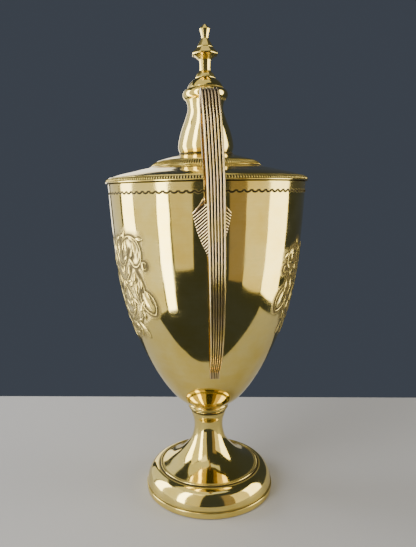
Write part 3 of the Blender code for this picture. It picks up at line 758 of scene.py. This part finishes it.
# The cover
# Spun, and lifted off by hand: a beaded rim that overhangs the bowl, a shallow slope, a low step with a knurled
# edge, and a flat middle for the knob. A plug under it keeps it in the bowl's mouth.
cover_low, cover_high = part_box("cover")
cover_radius = cover_high.x
cover_top = cover_high.z
rim_seat = bowl_high.z + joint_gap
cover_wall = 0.0012
knurl_radius = 0.0461
plug_clearance = 0.0006
plug_radius = mouth_radius - bowl_wall - plug_clearance
flat_radius = 0.0222
crown = smooth_curve(
    [
        (flat_radius + 0.0012, cover_top - 0.0014),
        (0.0250, cover_top - 0.0020),
        (0.0300, cover_top - 0.0033),
        (0.0360, cover_top - 0.0050),
        (0.0408, cover_top - 0.0064),
    ],
    3,
)
knurl_band = [
    Vector((0.0413, cover_top - 0.0069)),
    Vector((0.0417, cover_top - 0.0075)),
    Vector((knurl_radius - 0.0008, cover_top - 0.0104)),
    *arc((knurl_radius - 0.0002, cover_top - 0.0109), 0.0004, 0.0004, 20, 150, 5),
]
slope = smooth_curve(
    [
        (knurl_radius + 0.0004, cover_top - 0.0116),
        (0.0545, cover_top - 0.0132),
        (0.0630, cover_top - 0.0152),
        (0.0710, cover_top - 0.0169),
        (0.0780, cover_top - 0.0190),
        (0.0797, cover_top - 0.0198),
    ],
    3,
)
rim_ridge = arc((cover_radius - 0.0034, rim_seat + 0.0042), 0.0006, 0.0006, -70, 80, 6)
rim = [
    Vector((cover_radius - 0.0025, rim_seat + 0.0039)),
    Vector((cover_radius - 0.0021, rim_seat + 0.0036)),
    Vector((cover_radius - 0.0010, rim_seat + 0.0017)),
    *arc((cover_radius - 0.0006, rim_seat + 0.0009), 0.0006, 0.0006, 20, 170, 6),
]
plug = [
    Vector((plug_radius, rim_seat)),
    Vector((plug_radius, cover_low.z + 0.0003)),
    Vector((plug_radius - 0.0003, cover_low.z)),
    Vector((plug_radius - cover_wall, cover_low.z)),
    Vector((plug_radius - cover_wall, rim_seat + 0.0024)),
]
cover_profile = [
    Vector((0, cover_top)),
    Vector((flat_radius - 0.0002, cover_top)),
    Vector((flat_radius + 0.0002, cover_top - 0.0003)),
    Vector((flat_radius, cover_top - 0.0010)),
    *crown,
    *knurl_band,
    *slope,
    *rim_ridge,
    *rim,
    *plug,
    *inside_of(slope, cover_wall)[3:-2],
    *inside_of(crown, cover_wall),
    Vector((0, cover_top - 0.0014 - cover_wall)),
]
cover = spun(cover_profile)
cover_recess = hollows(cover)
for vert in cover.verts:
    radius = math.hypot(vert.co.x, vert.co.y)
    shadow_under_beads = cover_radius - 0.0023 < radius < cover_radius - 0.0005 and vert.co.z > rim_seat + 0.0013
    below_top = cover_top - vert.co.z
    shadow_under_knurls = 0.0415 < radius < knurl_radius - 0.0006 and 0.0070 < below_top < 0.0106
    # Painted shadow on the cover behind the rim beads and behind the knurls
    if shadow_under_beads or shadow_under_knurls:
        cover_recess[vert.index] = 0.9
finish_piece("cover_spun", cover, brass("cover brass", 0.08, waves=6.0), ["cover"],
             recess=cover_recess)


def beads(count, radius, z, half_width, half_length, half_depth, tilt):
    """Small beads side by side round the cup's axis, tilted inwards at the top: one bead, then its copies."""
    bm = bmesh.new()
    shape = Matrix.Translation((radius, 0, z)) @ Matrix.Rotation(math.radians(-tilt), 4, "Y")
    shape @= Matrix.Diagonal((half_depth, half_width, half_length, 1))
    bmesh.ops.create_uvsphere(bm, u_segments=8, v_segments=6, radius=1.0, matrix=shape)
    bead = bm.verts[:] + bm.edges[:] + bm.faces[:]
    round_to_last = 2 * math.pi * (count - 1) / count
    bmesh.ops.spin(bm, geom=bead, axis=(0, 0, 1), angle=round_to_last, steps=count - 1, use_duplicate=True)
    return bm


def bead_flank_shade(bm, count):
    """How dark each corner of a row of beads is painted: bright on the crown of a bead, and painted shade down its
    flanks, where the beads shade each other.
    """
    depth = []
    for vert in bm.verts:
        turns = math.atan2(vert.co.y, vert.co.x) / (2 * math.pi) * count
        depth.append(min(0.95, max(0.0, 3.4 * abs(turns - round(turns)) - 0.30)))
    return depth


bead_count = 252
knurl_count = 144
bead_half = math.pi * cover_radius / bead_count
knurl_half = math.pi * knurl_radius / knurl_count
rim_beads = beads(bead_count, cover_radius - 0.0015, rim_seat + 0.0026, 0.74 * bead_half, 0.0013, 0.0008, 35)
finish_piece("rim_beads", rim_beads, brass("bead brass", 0.15, turned=False),
             recess=bead_flank_shade(rim_beads, bead_count), sharp=80)
knurls = beads(knurl_count, knurl_radius - 0.0026, cover_top - 0.0088, 0.52 * knurl_half, 0.0025, 0.0007, 52)
finish_piece("knurled_step", knurls, brass("knurl brass", 0.16, turned=False),
             recess=bead_flank_shade(knurls, knurl_count), sharp=80)

# The knob on the cover
# Spun as a hollow vase, with a round moulding at its neck and a small dome that carries the finial. It is
# soldered down in the middle of the cover.
knob_low, knob_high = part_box("cover_knob")
knob_wall = 0.0012
knob_cap = 0.0024
vase = smooth_curve(
    [
        (0.0160, knob_high.z - 0.0168),
        (0.0150, knob_high.z - 0.0196),
        (0.0146, knob_high.z - 0.0225),
        (0.0150, knob_high.z - 0.0258),
        (0.0170, knob_high.z - 0.0318),
        (0.0201, knob_high.z - 0.0400),
        (0.0223, knob_high.z - 0.0481),
        (knob_high.x, knob_high.z - 0.0533),
        (0.0226, knob_high.z - 0.0563),
        (0.0217, knob_low.z),
    ],
    5,
)
dome = smooth_curve(
    [
        (0.0088, knob_high.z),
        (0.0114, knob_high.z - 0.0020),
        (0.0135, knob_high.z - 0.0045),
        (0.0148, knob_high.z - 0.0072),
    ],
    4,
)
knob_profile = [
    Vector((0, knob_high.z)),
    *dome,
    Vector((0.0149, knob_high.z - 0.0078)),
    *arc((0.0146, knob_high.z - 0.0124), 0.0040, 0.0043, 14, 150, 12),
    *vase,
    *inside_of(vase, knob_wall),
    Vector((0.0130, knob_high.z - 0.0100)),
    Vector((0.0080, knob_high.z - knob_cap)),
    Vector((0, knob_high.z - knob_cap)),
]
finish_piece("knob_spun", spun(knob_profile, 128), brass("knob brass", 0.06, waves=5.0),
             ["cover_knob"])

# The finial
# Cast and filed to eight flats, then screwed down on the dome: a stepped base, a shaft, a flange under a bell,
# and a pointed tip on a thin neck. Its edges are a little rounded by polishing.
finial_low, finial_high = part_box("finial")
flats = (
    (0, 1.000), (0.0009, 0.990), (0.0042, 0.905), (0.0040, 0.885), (0.0028, 0.780), (0.0027, 0.735), (0.0033, 0.710),
    (0.0053, 0.621), (0.0062, 0.580), (0.0062, 0.568), (0.0073, 0.535), (0.0101, 0.461), (0.0103, 0.442),
    (0.0100, 0.430), (0.0088, 0.426), (0.0074, 0.402), (0.0047, 0.345), (0.0043, 0.280), (0.0043, 0.200),
    (0.0045, 0.140), (0.0058, 0.100), (0.0066, 0.082), (0.0080, 0.010), (0.0080, 0), (0, 0),
)
finial_sides = 8
corner = 1 / math.cos(math.pi / finial_sides)
finial_height = finial_high.z - finial_low.z
finial = spun([Vector((width * corner, finial_low.z + share * finial_height)) for width, share in flats],
              finial_sides)
bmesh.ops.rotate(finial, matrix=Matrix.Rotation(math.pi / finial_sides, 3, "Z"), verts=finial.verts)
ridges = [edge for edge in finial.edges if edge.calc_face_angle(0) > math.radians(14)]
bmesh.ops.bevel(finial, geom=ridges, offset=0.00016, segments=2, profile=0.5, affect="EDGES", material=-1,
                clamp_overlap=True)
finish_piece("finial_cast", finial, brass("finial brass", 0.20, turned=False), ["finial"], sharp=24)

# The studio
# A pale floor, and broad soft lights to each side of the camera, as bright windows stood beside the real cup.
floor_turn = math.radians(-3.4)
floor_middle = (-0.042, 0.010, 0)
floor_half_depth = 0.164
floor_half_width = 0.340
floor_mesh = bmesh.new()
bmesh.ops.create_grid(
    floor_mesh, x_segments=1, y_segments=1, size=1.0,
    matrix=Matrix.Rotation(floor_turn, 4, "Z") @ Matrix.Translation(floor_middle)
    @ Matrix.Diagonal((floor_half_depth, floor_half_width, 1, 1)),
)
floor_data = bpy.data.meshes.new("floor")
floor_mesh.to_mesh(floor_data)
floor_mesh.free()
floor_paint = bpy.data.materials.new("pale floor")
floor_paint.use_nodes = True
floor_shader = floor_paint.node_tree.nodes["Principled BSDF"]
floor_shader.inputs["Base Color"].default_value = colour(0.42, 0.42, 0.43)
floor_shader.inputs["Roughness"].default_value = 0.6
floor_data.materials.append(floor_paint)
floor = bpy.data.objects.new("floor", floor_data)
floor.location.z = -0.0005
bpy.context.scene.collection.objects.link(floor)

world = bpy.data.worlds.new("studio air")
world.use_nodes = True
world.node_tree.nodes["Background"].inputs["Color"].default_value = colour(0.42, 0.50, 0.64)
world.node_tree.nodes["Background"].inputs["Strength"].default_value = 0.12
bpy.context.scene.world = world


def soft_light(name, azimuth, middle, distance, width, height, brightness, tint=(1, 1, 1)):
    """An upright soft box at this azimuth round from +X, with its middle at this height, turned to the cup."""
    data = bpy.data.lights.new(name, "AREA")
    data.color = tint
    data.shape = "RECTANGLE"
    data.size = width
    data.size_y = height
    data.energy = brightness * math.pi * width * height
    light = bpy.data.objects.new(name, data)
    turn = math.radians(azimuth)
    light.location = (distance * math.cos(turn), distance * math.sin(turn), middle)
    away = Vector(light.location) - Vector((0, 0, min(middle, 0.25)))
    light.rotation_euler = away.to_track_quat("Z", "Y").to_euler()
    bpy.context.scene.collection.objects.link(light)


warm = (1.0, 0.89, 0.66)
cream = (1.0, 0.95, 0.82)
soft_light("left window near", -51, 0.45, 1.4, 0.36, 2.60, 10.0)
soft_light("left window between", -74.5, 0.45, 1.4, 0.80, 2.60, 1.2, cream)
soft_light("left window far", -102, 0.25, 1.4, 0.54, 2.20, 8.5)
soft_light("left window behind", -164, 0.45, 1.5, 0.62, 0.90, 2.2, cream)
soft_light("left wall behind", -131, 0.45, 1.4, 0.70, 1.90, 0.9)
soft_light("left wall", -30, 0.70, 1.4, 0.70, 2.40, 0.9, warm)
soft_light("right wall", 33, 0.45, 1.4, 0.50, 1.90, 0.30, (1.0, 0.72, 0.42))
soft_light("right window near", 56, 0.35, 1.4, 0.70, 1.70, 1.3, warm)
soft_light("right window far", 85.5, 0.35, 1.4, 0.78, 1.70, 5.5, cream)
soft_light("overhead", -60, 1.80, 0.30, 1.60, 1.60, 0.9, cream)

# The camera
# It stands a cup's height away, level with the bowl's upper half and tipped down a little.
camera_distance = 0.4439
camera_height = 0.265
camera_azimuth = math.radians(-2.46)
camera_yaw = math.radians(1.87)
camera_pitch = math.radians(10.04)
camera_roll = math.radians(-0.88)
picture_width = 416
picture_height = 547
focal_pixels = 514.8
view_centre = (190.6, 286.0)
camera_data = bpy.data.cameras.new("camera")
camera_data.sensor_width = 36
camera_data.lens = focal_pixels / picture_height * camera_data.sensor_width
camera_data.shift_x = (picture_width / 2 - view_centre[0]) / picture_height
camera_data.shift_y = (view_centre[1] - picture_height / 2) / picture_height
camera_data.clip_start = 0.01
camera = bpy.data.objects.new("camera", camera_data)
camera.location = (
    camera_distance * math.cos(camera_azimuth), camera_distance * math.sin(camera_azimuth), camera_height
)
turn = Matrix.Rotation(math.pi / 2 + camera_azimuth + camera_yaw, 3, "Z")
tilt = Matrix.Rotation(math.pi / 2 - camera_pitch, 3, "X")
roll = Matrix.Rotation(camera_roll, 3, "Z")
camera.rotation_euler = (turn @ tilt @ roll).to_euler()
bpy.context.scene.collection.objects.link(camera)
bpy.context.scene.camera = camera
